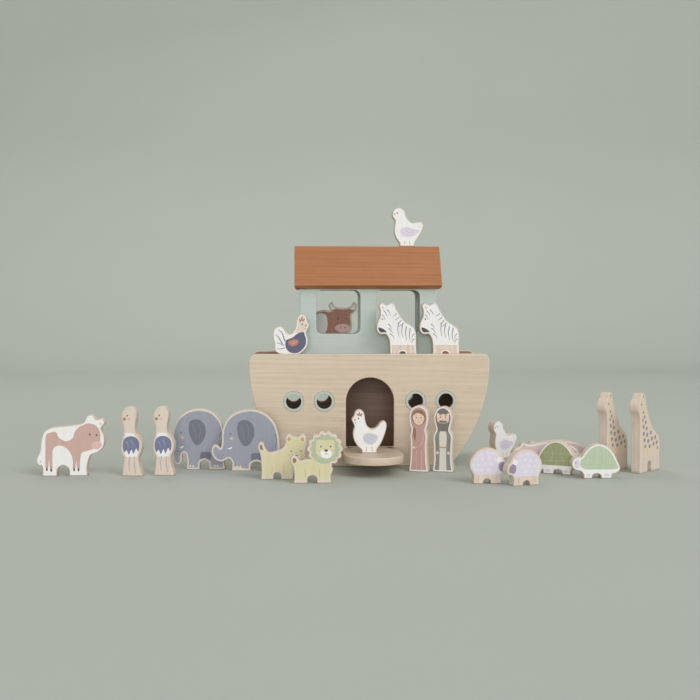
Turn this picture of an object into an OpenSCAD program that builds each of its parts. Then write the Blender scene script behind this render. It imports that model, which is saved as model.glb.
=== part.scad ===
// Toy ark of painted boards with a fold-down ramp, a lift-off roof and a set of cut-out figures.
// Millimetres. The middle of the hull's underside is the origin, +X is right, +Y is back, +Z is up.

/* [Hull] */
// Length of the hull over its widest part
hull_length = 300; // [280:2:330]
// Depth of the hull over both panels
hull_depth = 120; // [118:1:130]
// Height of the hull's side panels
hull_height = 140; // [134:1:150]
// Thickness of the hull's side panels
hull_board = 9; // [7.5:0.5:9.5]
// Distance by which each end of the hull leans out beyond its flat underside
flare = 50; // [44:1:56]
// Height of the upper band over which the sides stand upright
shoulder = 10; // [10:1:24]
// Radius of the upper corners of the side panels
hull_corner = 9; // [5:0.5:10]
// Height of the panels above the deck
rim = 6; // [4:0.5:8]
// Thickness of the deck and of the hull's floor
deck_board = 9; // [8:0.5:11]
// Thickness of the curved bow and stern walls
end_wall = 6; // [5:0.5:8]
// Set-back of the bow and stern walls from the panel edge
end_inset = 3; // [2:0.5:6]
// Set-back of the deck's ends from the panel edge
deck_inset = 1.5; // [1:0.5:4]

/* [Doorway and portholes] */
// Width of the arched doorway
door_width = 60; // [57:1:62]
// Height of the doorway from its sill to the top of the arch
door_height = 86.5; // [85:0.5:92]
// Height of the doorway's sill above the ground
door_sill = 24; // [21:1:28]
// Diameter of the portholes
porthole_d = 19; // [16:0.5:20]
// Outer diameter of the rings around the portholes
ring_d = 25; // [23:0.5:28]
// Thickness of the rings
ring_board = 2; // [1.6:0.2:3]
// Depth to which the rings are let into the panels
ring_seat = 1.4; // [1:0.1:1.5]
// Distance of the inner portholes from the middle
porthole_x = 57; // [54:1:60]
// Distance between neighbouring portholes
porthole_pitch = 38; // [34:1:40]
// Height of the portholes' middle above the ground
porthole_z = 81; // [70:1:90]

/* [Cabin] */
// Length of the cabin over its end walls
cabin_length = 173; // [164:1:184]
// Depth of the cabin over both long walls
cabin_depth = 54; // [50:1:55]
// Thickness of the cabin's walls
cabin_board = 9; // [8:0.5:10]
// Height of the long walls' outer face above the deck
cabin_wall = 88.6; // [88:0.2:96]
// Width of each window
window_width = 56; // [50:1:58]
// Height of each window
window_height = 56; // [50:1:56]
// Radius of the window corners
window_corner = 8; // [5:0.5:12]
// Width of the post between the two windows
window_post = 20; // [16:1:22]
// Height of the window sill above the deck
window_sill = 30; // [26:0.5:30]

/* [Roof] */
// Slope of the roof in degrees
roof_pitch = 59.4; // [56:0.2:61]
// Thickness of the roof boards
roof_board = 10; // [8:0.5:11]
// Overhang of the roof at each end of the cabin
roof_overhang = 7; // [4:0.5:12]
// Width of the flat ridge bar
ridge_width = 14; // [13:0.5:18]
// Radius of the lower corners of the roof boards
roof_corner = 5; // [2:0.5:8]
// Height of the cleats that keep the roof from sliding
cleat_height = 12; // [8:0.5:16]
// Thickness of the cleats
cleat_board = 8; // [6:0.5:12]

/* [Ramp] */
// Lap of the ramp over each side of the doorway
ramp_lap = 5; // [4:0.5:7]
// Thickness of the ramp
ramp_board = 9; // [8.5:0.5:9.5]
// Distance of the hinge pin before the hull
hinge_reach = 5; // [5:0.1:6]
// Diameter of the hinge pin
pin_d = 4; // [3:0.2:4.4]
// Outer diameter of the hinge eyes
eye_d = 8.6; // [8:0.2:9.2]
// Width of the hinge eyes
eye_width = 8; // [6:0.5:10]
// Distance of the hinge eyes from the sides of the doorway
eye_inset = 3; // [2:0.5:6]
// Diameter of the stems that hold the hinge eyes in the hull
stem_d = 6; // [4:0.2:6.4]
// Distance of the pin's ends from the sides of the ramp
pin_inset = 1; // [0.5:0.5:3]

/* [Dowels] */
// Diameter of the dowels in the hull and in the cabin
dowel_d = 5; // [4:0.2:6]
// Length of the dowels
dowel_length = 18; // [14:1:20]
// Depth to which a dowel enters the board it stands on
dowel_set = 6; // [4:0.5:6.5]
// Distance of the floor dowels from the ends of the flat underside
floor_dowel_inset = 51; // [40:1:60]
// Distance of the deck dowels from the ends of the hull
deck_dowel_inset = 40; // [30:1:60]
// Distance of the cabin dowels from the long walls
cabin_dowel_inset = 5; // [4:0.5:8]

/* [Figures] */
// Thickness of the figures
figure_board = 12; // [10:0.5:13]
// Height of the cow
cow_height = 73; // [66:1:80]
// Height of the bull
bull_height = 73; // [66:1:80]
// Height of the ostriches
ostrich_height = 82; // [74:1:90]
// Height of the elephants
elephant_height = 74; // [67:1:81]
// Height of the lioness
lioness_height = 53; // [48:1:58]
// Height of the lion
lion_height = 58; // [52:1:63]
// Height of the hen
hen_height = 52; // [46:1:54]
// Height of the rooster
rooster_height = 55; // [50:1:60]
// Height of the zebras
zebra_height = 70; // [64:1:76]
// Height of the doves
dove_height = 50; // [45:1:55]
// Height of the sheep
sheep_height = 40; // [36:1:44]
// Height of the tortoises
tortoise_height = 40; // [36:1:44]
// Height of the hippos
hippo_height = 34; // [31:1:37]
// Height of the giraffes
giraffe_height = 96; // [88:1:104]
// Height of Noah
noah_height = 79; // [72:1:86]
// Height of Noah's wife
wife_height = 80; // [72:1:87]

/* [Places of the figures] */
// Cow: right of the middle, and before the hull
cow_at = [-356, 52];
// First ostrich
ostrich_1_at = [-285, 56];
// Second ostrich
ostrich_2_at = [-248, 54];
// First elephant
elephant_1_at = [-211, 9];
// Second elephant, right of the middle; it stands just before the first
elephant_2_x = -150;
// Lioness
lioness_at = [-108, 90];
// Lion
lion_at = [-68, 119];
// First sheep
sheep_1_at = [123, 133];
// Second sheep
sheep_2_at = [160, 148];
// First tortoise
tortoise_1_at = [221, 72];
// Second tortoise
tortoise_2_at = [254, 104];
// First hippo
hippo_1_at = [213, 36];
// Second hippo, right of the middle; it stands just behind the first
hippo_2_x = 228;
// First giraffe
giraffe_1_at = [293, 45];
// Second giraffe
giraffe_2_at = [329, 57];
// Noah
noah_at = [86, 46];
// Noah's wife
wife_at = [57, 43];
// Second dove: beyond the hull's end, and before the hull's middle
dove_2_at = [29, -5];
// Hen: right of the middle, and before the hinge pin
hen_at = [-5, 45];
// Bull on the deck behind the cabin, right of the middle
bull_x = -54;
// Rooster on the deck, beyond the cabin's end
rooster_x = 11.5;
// First zebra on the deck, right of the middle
zebra_1_x = 35;
// First dove on the ridge, right of the middle
dove_1_x = 52;

/* [Fits] */
// Gap between the roof and the walls it rests on
seat_gap = 0.3; // [0.2:0.05:0.5]
// Gap under a figure that stands on the deck, the ramp or the roof
stand_gap = 0.2; // [0.1:0.05:0.4]
// Radial clearance of the ramp on its pin
pin_clearance = 0.08; // [0.04:0.01:0.1]
// Radial room for glue round dowels, stems and rings
glue_gap = 0.05; // [0.02:0.01:0.1]
// Gap between the ramp and the hull
ramp_gap = 0.3; // [0.2:0.05:0.5]
// Gap between the roof's lower edge and the face of the long walls
eave_gap = 1.4; // [0.3:0.1:1.6]
// Spare depth at each end of a dowel or stem hole
hole_spare = 0.3; // [0.2:0.1:0.6]
// Gap at each side of a hinge eye in its slot
slot_side = 0.5; // [0.3:0.1:1]
// Gap between a hinge eye and the end of its slot
slot_room = 1.7; // [1.7:0.1:2.5]
// Gap between the cleats and the cabin's end walls
cleat_gap = 0.5; // [0.3:0.1:1]
// Gap between a deck figure and the hull panel beside it
deck_gap = 1; // [0.5:0.1:1.2]
// Least gap between figures that stand side by side
figure_gap = 3; // [2:0.5:6]

/* [Hidden] */
$fn = 96;

// Hull: each side is one arc that stands upright at the shoulder and reaches the keel's end at the ground.
half_length = hull_length / 2;
half_depth = hull_depth / 2;
inner_half = half_depth - hull_board;
shoulder_z = hull_height - shoulder;
keel_length = hull_length - 2 * flare;
side_r = (flare * flare + shoulder_z * shoulder_z) / (2 * flare);
side_x = half_length - side_r;
deck_top = hull_height - rim;
deck_low = deck_top - deck_board;
corner_rise = max(0, deck_top - (hull_height - hull_corner));
corner_run = sqrt(hull_corner * hull_corner - corner_rise * corner_rise);
deck_half = half_length - hull_corner + corner_run - deck_inset;
door_arch_z = door_sill + door_height - door_width / 2;
porthole_places = [
    -porthole_x - porthole_pitch, -porthole_x, porthole_x, porthole_x + porthole_pitch
];
floor_dowel_x = keel_length / 2 - floor_dowel_inset;
deck_dowel_x = half_length - deck_dowel_inset;

// Cabin and roof: the wall tops and the roof's underside are parallel slopes.
slope = tan(roof_pitch);
cabin_half = cabin_length / 2;
wall_half = cabin_depth / 2;
wall_in = wall_half - cabin_board;
roof_lift = seat_gap / cos(roof_pitch);
roof_rise = roof_board / cos(roof_pitch);
roof_half = cabin_half + roof_overhang;
ridge_half = ridge_width / 2;
eave_in = wall_half + eave_gap;
eave_out = eave_in + roof_board * sin(roof_pitch);
ridge_top = roof_z(ridge_half) + roof_rise;
cabin_dowel_y = wall_in - cabin_dowel_inset;

// Ramp: it lies level with the sill and turns up about the pin until it covers the doorway.
pin_y = -half_depth - hinge_reach;
pin_z = door_sill - ramp_board / 2;
ramp_width = door_width + 2 * ramp_lap;
ramp_half = ramp_width / 2;
ramp_straight = door_arch_z - pin_z;
eye_x = door_width / 2 - eye_inset;
slot_width = eye_width + 2 * slot_side;
slot_reach = eye_d / 2 + slot_room;

// Figures that stand on the deck keep close to the panels, clear of the eaves.
deck_figure_y = inner_half - deck_gap - figure_board / 2;

// Length of a zebra from its muzzle to its rump.
zebra_length = 0.73 * zebra_height;

// Outlines of the figures, facing left, in hundredths of the figure's height.
COW = [
    [-24, -6], [-25, 14], [-31, 33], [-43, 38], [-52, 48], [-53, 63], [-48, 76], [-54, 85], [-49, 92],
    [-41, 90], [-34, 98], [-26, 96], [-21, 86], [-8, 82], [12, 80], [30, 78], [42, 71], [47, 57],
    [49, 40], [55, 27], [52, 18], [46, 16], [45, 4], [45, -8], [24, -8], [22, 10], [13, 17], [3, 10], [1, -8]
];
BULL = [
    [-24, -6], [-25, 14], [-29, 32], [-42, 38], [-50, 46], [-51, 60], [-50, 73], [-57, 80], [-60, 91],
    [-54, 97.5], [-48, 89], [-34, 86.5], [-20, 89], [-14, 97.5], [-8, 91], [-11, 82], [2, 83], [14, 80],
    [31, 77], [43, 70], [48, 56], [49, 38], [54, 26], [51, 17], [46, 15], [46, 4], [46, -8], [24, -8],
    [22, 10], [13, 16], [3, 10], [1, -8]
];
OSTRICH = [
    [-11, -8], [-11, 14], [-10, 26], [-14, 36], [-14, 48], [-11, 58], [-11, 72], [-14, 82], [-12, 92],
    [-6, 98.5], [2, 98.5], [8, 92], [8, 82], [6, 72], [7, 62], [12, 55], [16, 46], [15, 36], [11, 26],
    [12, 14], [15, 5], [15, -8]
];
ELEPHANT_DOWN = [
    [-19, -8], [-19, 14], [-22, 27], [-27, 24], [-28, 13], [-34, 8], [-41, 13], [-43, 28], [-43, 47],
    [-42, 64], [-35, 82], [-20, 95], [0, 100], [21, 95], [36, 80], [42, 58], [43, 34], [42, 12],
    [42, -8], [19, -8], [17, 10], [9, 15], [2, 10], [0, -8]
];
ELEPHANT_CURL = [
    [-25, -8], [-26, 12], [-32, 20], [-43, 15], [-54, 19], [-60, 31], [-57, 42], [-50, 42], [-45, 38],
    [-43, 48], [-43, 60], [-39, 76], [-29, 90], [-11, 98.5], [10, 100], [30, 92], [44, 76], [50, 54],
    [51, 30], [50, 10], [50, -8], [24, -8], [22, 10], [13, 15], [4, 10], [2, -8]
];
LIONESS = [
    [-22, -8], [-23, 12], [-30, 24], [-42, 30], [-49, 44], [-49, 62], [-52, 78], [-51, 92], [-43, 98],
    [-35, 92], [-24, 92], [-15, 98.5], [-7, 93], [-7, 79], [0, 67], [15, 60], [29, 58], [37, 67],
    [42, 79], [50, 79], [53, 69], [48, 54], [46, 36], [45, 14], [45, -8], [21, -8], [19, 10], [11, 15],
    [3, 10], [1, -8]
];
LION_BODY = [
    [17, 46.5], [33, 43], [41, 51], [49, 53], [53, 44], [47, 31], [45, 14], [45, -8], [22, -8],
    [20, 10], [11, 15], [2, 10], [0, -8], [-24, -8], [-25, 14], [-26.5, 32]
];
MANE_AT = [-14, 66];
MANE = [31, 4, 14];
HEN = [
    [-16, -8], [-17, 6], [-27, 16], [-35, 30], [-37, 46], [-34, 60], [-37, 69], [-40, 77], [-35, 85],
    [-32, 94], [-24, 99.5], [-15, 96], [-11, 87], [-9, 74], [-4, 61], [6, 55], [17, 59], [26, 70],
    [35, 73], [40, 65], [38, 51], [33, 36], [26, 20], [17, 7], [16, -8]
];
ROOSTER = [
    [-15, -8], [-16, 7], [-26, 15], [-36, 28], [-38, 44], [-34, 58], [-37, 67], [-41, 76], [-36, 85],
    [-34, 94], [-26, 99.5], [-17, 96], [-13, 86], [-11, 72], [-4, 59], [5, 55], [13, 63], [22, 72],
    [33, 71], [40, 61], [40, 46], [37, 32], [36, 18], [28, 11], [18, 8], [16, -8]
];
ZEBRA = [
    [-13, -8], [-13, 16], [-15, 34], [-21, 43], [-31, 43], [-37, 51], [-36, 63], [-31, 75], [-31, 86],
    [-33, 94], [-27, 98.5], [-20, 95], [-12, 98.5], [-5, 96], [-2, 88], [4, 78], [12, 67], [22, 60],
    [31, 53], [34, 41], [34, 20], [34, -8], [17, -8], [15, 8], [9, 12], [4, 8], [2, -8]
];
DOVE = [
    [-18, -8], [-19, 7], [-27, 18], [-33, 34], [-33, 51], [-31, 65], [-38, 76], [-37, 89], [-29, 97.5],
    [-18, 98.5], [-8, 91], [-4, 79], [3, 67], [13, 60], [25, 62], [36, 62], [42, 53], [38, 40],
    [29, 24], [19, 8], [18, -8]
];
SHEEP = [
    [-34, -8], [-35, 18], [-41, 29], [-52, 32], [-56, 44], [-53, 56], [-46, 64], [-40, 77], [-28, 90],
    [-10, 98.5], [10, 99], [29, 92], [43, 79], [52, 61], [52, 44], [46, 32], [41, 20], [41, -8], [17, -8],
    [14, 8], [4, 14], [-6, 8], [-9, -8]
];
TORTOISE = [
    [-34, -8], [-36, 10], [-45, 21], [-58, 24], [-68, 32], [-71, 46], [-64, 58], [-52, 62], [-43, 62],
    [-34, 75], [-18, 91], [4, 100], [26, 95], [45, 80], [58, 60], [68, 38], [70, 25], [60, 16],
    [47, 11], [44, -8], [18, -8], [14, 9], [2, 14], [-10, 9], [-13, -8]
];
HIPPO = [
    [-90, -8], [-91, 20], [-99, 31], [-113, 33], [-124, 45], [-125, 63], [-115, 77], [-101, 83], [-92, 94],
    [-82, 97], [-73, 91], [-52, 92], [-24, 97], [12, 99.5], [50, 97], [86, 88], [110, 72], [119, 48],
    [119, 22], [118, -8], [80, -8], [75, 14], [50, 25], [4, 27], [-36, 25], [-52, 14], [-56, -8]
];
GIRAFFE = [
    [-24, -8], [-24, 18], [-25, 38], [-24, 58], [-26, 71], [-31, 79], [-30, 87], [-24, 93], [-20, 99],
    [-14, 98.5], [-11, 91], [-8, 81], [0, 67], [9, 55], [19, 48], [27, 41], [29, 29], [28, 14],
    [29, -8], [8, -8], [6, 9], [1, 13], [-4, 9], [-6, -8]
];
NOAH = [
    [-14, -8], [-14, 18], [-14.5, 40], [-15, 55], [-11, 64], [-13, 73], [-14.5, 84], [-10, 95], [0, 100],
    [10, 95], [14.5, 84], [13, 73], [11, 64], [15, 55], [14.5, 40], [14, 18], [14, -8]
];
WIFE = [
    [-13, -8], [-13, 18], [-12.5, 40], [-13.5, 54], [-11.5, 63], [-14, 72], [-15, 84], [-11, 95], [0, 100],
    [11, 95], [15, 84], [14, 72], [11.5, 63], [13.5, 54], [12.5, 40], [13, 18], [13, -8]
];

// A place on the ground before the hull.
function before(at) = [at[0], -half_depth - at[1], 0];

// Height of the wall tops, and of the roof's underside, at a distance from the middle of the cabin.
function wall_z(y) = deck_top + cabin_wall + (wall_half - y) * slope;
function roof_z(y) = wall_z(y) + roof_lift;

// A point of the smooth curve between b and c, with a and d as their outer neighbours.
function curve_point(a, b, c, d, t) =
    0.5 * (2 * b + (c - a) * t + (2 * a - 5 * b + 4 * c - d) * t * t + (3 * b - a - 3 * c + d) * t * t * t);

// A closed smooth curve through all points of an outline.
function smooth(p) = let (m = len(p)) [
    for (i = [0 : m - 1]) for (k = [0 : 3])
        curve_point(p[(i + m - 1) % m], p[i], p[(i + 1) % m], p[(i + 2) % m], k / 4)
];

// The same outline facing right.
function mirrored(p) = [for (q = p) [-q[0], q[1]]];

// A mane of round lobes, eleven of which run from the throat over the head to the back:
// middle, and radius, depth and number of the lobes on a full round.
function lobed(at, m) = [
    for (i = [0 : 66]) let (a = (9.5 - i / 6) * 360 / m[2])
        at + (m[0] + m[1] * abs(cos(a * m[2] / 2))) * [cos(a), sin(a)]
];

// The lion's outline: the body, without its last, closing piece of curve, and the mane.
function maned(body, mane) = concat([for (i = [0 : len(body) - 4]) body[i]], mane);

// Stands a drawing in X and Z upright in a board whose middle plane is at y.
module upright(y, board) {
    translate([0, y, 0])
        rotate([90, 0, 0])
            linear_extrude(board, center = true)
                children();
}

// A drawing of a figure, cut level at its feet.
module on_feet(height) {
    intersection() {
        children();
        translate([-2 * height, 0])
            square([4 * height, 2 * height]);
    }
}

module cutout(outline, height, at, turn) {
    translate(at)
        rotate([0, 0, turn])
            upright(0, figure_board)
                on_feet(height)
                    polygon(smooth(outline) * height / 100);
}

module rounded_window(width, height, r) {
    translate([r, 0])
        square([width - 2 * r, height]);
    translate([0, r])
        square([width, height - 2 * r]);
    for (x = [r, width - r])
        for (z = [r, height - r])
            translate([x, z])
                circle(r);
}

module hull_outline() {
    intersection() {
        union() {
            translate([-half_length, 0])
                square([hull_length, hull_height - hull_corner]);
            translate([-half_length + hull_corner, 0])
                square([hull_length - 2 * hull_corner, hull_height]);
            for (s = [-1, 1])
                translate([s * (half_length - hull_corner), hull_height - hull_corner])
                    circle(hull_corner);
        }
        for_both_sides(side_r);
    }
}

// What lies within the arcs of both sides of the hull, each arc on its own half.
module for_both_sides(r) {
    for (s = [-1, 1])
        intersection() {
            translate([s * side_x, shoulder_z])
                circle(r, $fn = 240);
            translate([(s - 1) * half_length / 2 - 1, 0])
                square([half_length + 2, hull_height]);
        }
}

module doorway() {
    translate([-door_width / 2, door_sill])
        square([door_width, door_arch_z - door_sill]);
    translate([0, door_arch_z])
        circle(door_width / 2);
}

// The holes that hold the dowels of the floor and the deck; s is -1 at the front and 1 at the back.
module hull_dowel_row(s, d, extra) {
    for (x = [-1, 1]) {
        translate([x * floor_dowel_x, s * (inner_half + dowel_set + extra), deck_board / 2])
            rotate([s * 90, 0, 0])
                cylinder(d = d, h = dowel_length + 2 * extra, $fn = 48);
        translate([x * deck_dowel_x, s * (inner_half + dowel_set + extra), deck_low + deck_board / 2])
            rotate([s * 90, 0, 0])
                cylinder(d = d, h = dowel_length + 2 * extra, $fn = 48);
    }
}

module cabin_dowel_row(d, extra) {
    for (x = [-1, 1])
        for (y = [-1, 1])
            translate([x * (cabin_half - cabin_board / 2), y * cabin_dowel_y, deck_top - dowel_set - extra])
                cylinder(d = d, h = dowel_length + 2 * extra, $fn = 48);
}

// A hull panel with its portholes and the seats of their rings; s is -1 at the front and 1 at the back.
module hull_panel(s) {
    difference() {
        upright(s * (half_depth - hull_board / 2), hull_board)
            difference() {
                hull_outline();
                for (x = porthole_places)
                    translate([x, porthole_z])
                        circle(d = porthole_d);
                children();
            }
        upright(s * half_depth, 2 * ring_seat)
            for (x = porthole_places)
                translate([x, porthole_z])
                    circle(d = ring_d + 2 * glue_gap);
        hull_dowel_row(s, dowel_d + 2 * glue_gap, hole_spare);
    }
}

module hull_front_panel() {
    color("#cdb491")
        difference() {
            hull_panel(-1)
                doorway();
            for (x = [-eye_x, eye_x])
                translate([x, -half_depth + dowel_set + hole_spare, pin_z])
                    rotate([90, 0, 0])
                        cylinder(d = stem_d + 2 * glue_gap, h = hull_board);
        }
}

module hull_back_panel() {
    color("#cdb491")
        hull_panel(1);
}

// A curved wall between the panels; s is -1 at the bow and 1 at the stern.
module hull_end(s) {
    upright(0, 2 * inner_half)
        intersection() {
            difference() {
                translate([s * side_x, shoulder_z])
                    circle(side_r - end_inset, $fn = 240);
                translate([s * side_x, shoulder_z])
                    circle(side_r - end_inset - end_wall, $fn = 240);
            }
            translate([s * half_length / 2 - half_length / 2, 0])
                square([half_length, deck_low]);
        }
}

module hull_bow_wall() {
    color("#c2a783")
        hull_end(-1);
}

module hull_stern_wall() {
    color("#c2a783")
        hull_end(1);
}

module hull_floor() {
    color("#6b5a4c")
        difference() {
            upright(0, 2 * inner_half)
                intersection() {
                    translate([-half_length, 0])
                        square([hull_length, deck_board]);
                    for_both_sides(side_r - end_inset - end_wall - glue_gap);
                }
            hull_dowel_row(-1, dowel_d + 2 * glue_gap, hole_spare);
            hull_dowel_row(1, dowel_d + 2 * glue_gap, hole_spare);
        }
}

module deck() {
    color("#cdb491")
        difference() {
            translate([-deck_half, -inner_half, deck_low])
                cube([2 * deck_half, 2 * inner_half, deck_board]);
            hull_dowel_row(-1, dowel_d + 2 * glue_gap, hole_spare);
            hull_dowel_row(1, dowel_d + 2 * glue_gap, hole_spare);
            cabin_dowel_row(dowel_d + 2 * glue_gap, hole_spare);
        }
}

// The rings of one panel, let into its outer face.
module porthole_rings(s) {
    upright(s * (half_depth - ring_seat + ring_board / 2), ring_board)
        for (x = porthole_places)
            translate([x, porthole_z])
                difference() {
                    circle(d = ring_d);
                    circle(d = porthole_d);
                }
}

module front_porthole_rings() {
    color("#b4c8bc")
        porthole_rings(-1);
}

module back_porthole_rings() {
    color("#b4c8bc")
        porthole_rings(1);
}

module hull_dowels() {
    color("#d8c3a0") {
        hull_dowel_row(-1, dowel_d, 0);
        hull_dowel_row(1, dowel_d, 0);
    }
}

// A long wall of the cabin with two windows and a top cut to the roof's slope.
module cabin_long_wall(s) {
    difference() {
        translate([-cabin_half, 0, 0])
            rotate([90, 0, 90])
                linear_extrude(cabin_length)
                    polygon([
                        [s * wall_half, deck_top], [s * wall_half, wall_z(wall_half)],
                        [s * wall_in, wall_z(wall_in)], [s * wall_in, deck_top]
                    ]);
        upright(s * wall_half, 3 * cabin_board)
            for (x = [window_post / 2, -window_post / 2 - window_width])
                translate([x, deck_top + window_sill])
                    rounded_window(window_width, window_height, window_corner);
    }
}

module cabin_front_wall() {
    color("#b2c6bc")
        cabin_long_wall(-1);
}

module cabin_back_wall() {
    color("#b2c6bc")
        cabin_long_wall(1);
}

// An end wall of the cabin with a gable under the roof.
module cabin_end(s) {
    difference() {
        translate([s * (cabin_half - cabin_board / 2) - cabin_board / 2, 0, 0])
            rotate([90, 0, 90])
                linear_extrude(cabin_board)
                    polygon([
                        [-wall_in, deck_top], [-wall_in, wall_z(wall_in)], [-ridge_half, wall_z(ridge_half)],
                        [ridge_half, wall_z(ridge_half)], [wall_in, wall_z(wall_in)], [wall_in, deck_top]
                    ]);
        cabin_dowel_row(dowel_d + 2 * glue_gap, hole_spare);
    }
}

module cabin_left_wall() {
    color("#b2c6bc")
        cabin_end(-1);
}

module cabin_right_wall() {
    color("#b2c6bc")
        cabin_end(1);
}

module cabin_dowels() {
    color("#d8c3a0")
        cabin_dowel_row(dowel_d, 0);
}

// A roof board with a square-cut eave, a plumb cut at the ridge and two rounded lower corners.
module roof_slope(s) {
    intersection() {
        translate([-roof_half, 0, 0])
            rotate([90, 0, 90])
                linear_extrude(2 * roof_half)
                    polygon([
                        [s * eave_in, roof_z(eave_in)],
                        [s * eave_out, roof_z(eave_in) + roof_board * cos(roof_pitch)],
                        [s * ridge_half, ridge_top], [s * ridge_half, roof_z(ridge_half)]
                    ]);
        upright(s * eave_out / 2, 2 * eave_out) {
            translate([-roof_half, roof_z(eave_in) + roof_corner])
                square([2 * roof_half, ridge_top]);
            translate([-roof_half + roof_corner, roof_z(eave_in) - 1])
                square([2 * (roof_half - roof_corner), ridge_top]);
            for (x = [-1, 1])
                translate([x * (roof_half - roof_corner), roof_z(eave_in) + roof_corner])
                    circle(roof_corner);
        }
    }
}

module roof_front_board() {
    color("#b0744f")
        roof_slope(-1);
}

module roof_back_board() {
    color("#b0744f")
        roof_slope(1);
}

module roof_ridge_bar() {
    color("#b0744f")
        translate([-roof_half, -ridge_half, roof_z(ridge_half)])
            cube([2 * roof_half, ridge_width, ridge_top - roof_z(ridge_half)]);
}

// Blocks under the ridge bar that stand just inside the cabin's end walls.
module roof_cleats() {
    color("#b0744f")
        for (s = [-1, 1])
            translate([
                s * (cabin_half - cabin_board - cleat_gap - cleat_board / 2) - cleat_board / 2,
                -ridge_half,
                roof_z(ridge_half) - cleat_height
            ])
                cube([cleat_board, ridge_width, cleat_height]);
}

// The ramp with a round upper heel and a square lower heel that stops it when it lies open.
module ramp_door() {
    color("#d6bf9c")
        difference() {
            union() {
                translate([-ramp_half, pin_y - ramp_straight, pin_z - ramp_board / 2])
                    cube([ramp_width, ramp_straight, ramp_board]);
                translate([0, pin_y - ramp_straight, pin_z - ramp_board / 2])
                    cylinder(r = ramp_half, h = ramp_board, $fn = 160);
                translate([-ramp_half, pin_y, pin_z])
                    rotate([0, 90, 0])
                        cylinder(d = ramp_board, h = ramp_width, $fn = 48);
                translate([-ramp_half, pin_y, pin_z - ramp_board / 2])
                    cube([ramp_width, hinge_reach - ramp_gap, ramp_board / 2]);
            }
            for (x = [-eye_x, eye_x])
                translate([x - slot_width / 2, pin_y - slot_reach, pin_z - ramp_board])
                    cube([slot_width, slot_reach + hinge_reach, 2 * ramp_board]);
            translate([-ramp_half - 1, pin_y, pin_z])
                rotate([0, 90, 0])
                    cylinder(d = pin_d + 2 * pin_clearance, h = ramp_width + 2, $fn = 48);
        }
}

module ramp_hinge_pin() {
    color("#b9b3a8")
        translate([-ramp_half + pin_inset, pin_y, pin_z])
            rotate([0, 90, 0])
                cylinder(d = pin_d, h = ramp_width - 2 * pin_inset, $fn = 48);
}

// The eyes that carry the pin, with stems let into the front panel.
module ramp_hinge_eyes() {
    color("#d6bf9c")
        for (x = [-eye_x, eye_x])
            difference() {
                union() {
                    translate([x - eye_width / 2, pin_y, pin_z])
                        rotate([0, 90, 0])
                            cylinder(d = eye_d, h = eye_width, $fn = 48);
                    translate([x, -half_depth + dowel_set, pin_z])
                        rotate([90, 0, 0])
                            cylinder(d = stem_d, h = hinge_reach + dowel_set, $fn = 48);
                }
                translate([x - eye_width, pin_y, pin_z])
                    rotate([0, 90, 0])
                        cylinder(d = pin_d + 2 * glue_gap, h = 2 * eye_width, $fn = 48);
            }
}

module cow() {
    color("#efe8df")
        cutout(mirrored(COW), cow_height, before(cow_at), 0);
}

module bull() {
    color("#96634f")
        cutout(mirrored(BULL), bull_height, [bull_x, deck_figure_y, deck_top + stand_gap], 0);
}

module ostrich_1() {
    color("#d8cdbf")
        cutout(OSTRICH, ostrich_height, before(ostrich_1_at), -8);
}

module ostrich_2() {
    color("#d8cdbf")
        cutout(OSTRICH, ostrich_height, before(ostrich_2_at), -8);
}

module elephant_1() {
    color("#8c8f9b")
        cutout(ELEPHANT_DOWN, elephant_height, before(elephant_1_at), 0);
}

module elephant_2() {
    color("#8c8f9b")
        cutout(
            ELEPHANT_CURL, elephant_height,
            before([elephant_2_x, elephant_1_at[1] + figure_board + figure_gap]), 0
        );
}

module lioness() {
    color("#d4cda0")
        cutout(mirrored(LIONESS), lioness_height, before(lioness_at), 0);
}

module lion() {
    color("#d4cda0")
        translate(before(lion_at))
            upright(0, figure_board)
                on_feet(lion_height)
                    polygon(mirrored(maned(smooth(LION_BODY), lobed(MANE_AT, MANE))) * lion_height / 100);
}

module hen() {
    color("#f0ece6")
        cutout(HEN, hen_height, [hen_at[0], pin_y - hen_at[1], door_sill + stand_gap], 0);
}

module rooster() {
    color("#e6dcc8")
        cutout(
            mirrored(ROOSTER), rooster_height,
            [-cabin_half - rooster_x, -deck_figure_y, deck_top + stand_gap], 0
        );
}

module zebra_1() {
    color("#ece8e2")
        cutout(ZEBRA, zebra_height, [zebra_1_x, -deck_figure_y, deck_top + stand_gap], 0);
}

module zebra_2() {
    color("#ece8e2")
        cutout(
            ZEBRA, zebra_height,
            [zebra_1_x + zebra_length + figure_gap, -deck_figure_y, deck_top + stand_gap], 0
        );
}

module dove_1() {
    color("#f0ede8")
        cutout(DOVE, dove_height, [dove_1_x, 0, ridge_top + stand_gap], 0);
}

module dove_2() {
    color("#f0ede8")
        cutout(DOVE, dove_height, [half_length + dove_2_at[0], -dove_2_at[1], 0], 30);
}

module sheep_1() {
    color("#e4dfe6")
        cutout(mirrored(SHEEP), sheep_height, before(sheep_1_at), 0);
}

module sheep_2() {
    color("#e4dfe6")
        cutout(SHEEP, sheep_height, before(sheep_2_at), 15);
}

module tortoise_1() {
    color("#8f9873")
        cutout(mirrored(TORTOISE), tortoise_height, before(tortoise_1_at), -28);
}

module tortoise_2() {
    color("#b6c0a4")
        cutout(TORTOISE, tortoise_height, before(tortoise_2_at), 0);
}

module hippo_1() {
    color("#cfb9c0")
        cutout(HIPPO, hippo_height, before(hippo_1_at), 0);
}

module hippo_2() {
    color("#cfb9c0")
        cutout(HIPPO, hippo_height, before([hippo_2_x, hippo_1_at[1] - figure_board - figure_gap]), 0);
}

module giraffe_1() {
    color("#d9bd8f")
        cutout(GIRAFFE, giraffe_height, before(giraffe_1_at), 45);
}

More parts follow.
